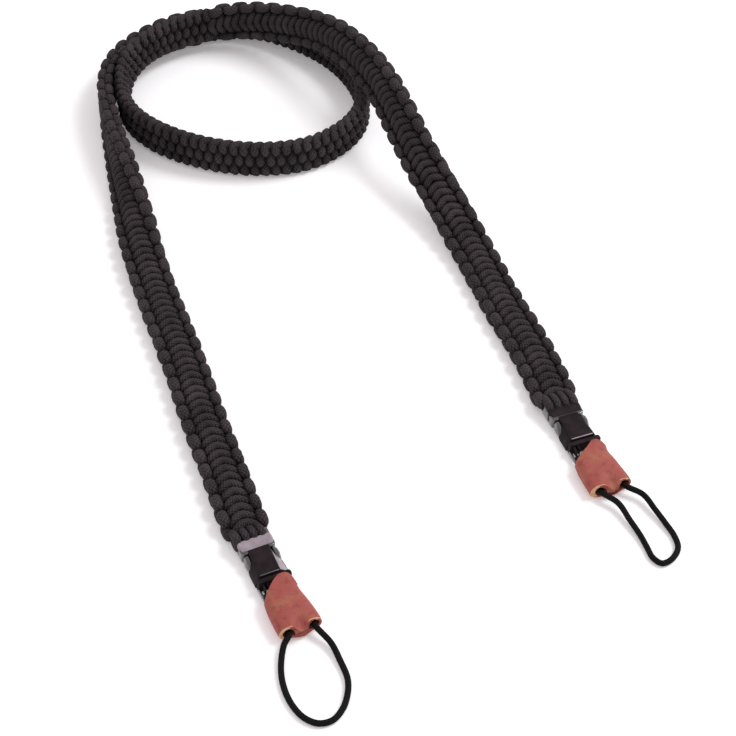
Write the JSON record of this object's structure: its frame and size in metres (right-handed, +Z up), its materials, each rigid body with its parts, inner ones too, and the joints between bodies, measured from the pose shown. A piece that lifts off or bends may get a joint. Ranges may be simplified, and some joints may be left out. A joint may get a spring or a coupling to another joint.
{
  "type": "camera strap",
  "caption": "Coiled camera strap knotted from black paracord, with a plain-woven neck section, small side-release buckles, folded leather tabs and thin cord loops.",
  "frame": {"origin": "centre of the base of the bounding box of everything but the two thin cord loops", "axes": "+Z up from the table, +Y away from the camera towards the coil, +X to the right, so both buckles lie towards -Y"},
  "size_m": [0.2666, 0.4569, 0.041],
  "materials": {
    "cord": "matt woven nylon",
    "loop_cord": "matt fine braid",
    "plastic": "semi-gloss",
    "leather": "smooth"
  },
  "bodies": {
    "root": {"left_strand": "cord", "neck_band": "cord", "right_strand": "cord", "left_loop": "loop_cord", "right_loop": "loop_cord", "left_socket": "plastic", "right_socket": "plastic", "left_plug": "plastic", "right_plug": "plastic", "left_leather": "leather", "right_leather": "leather"}
  },
  "joints": []
}
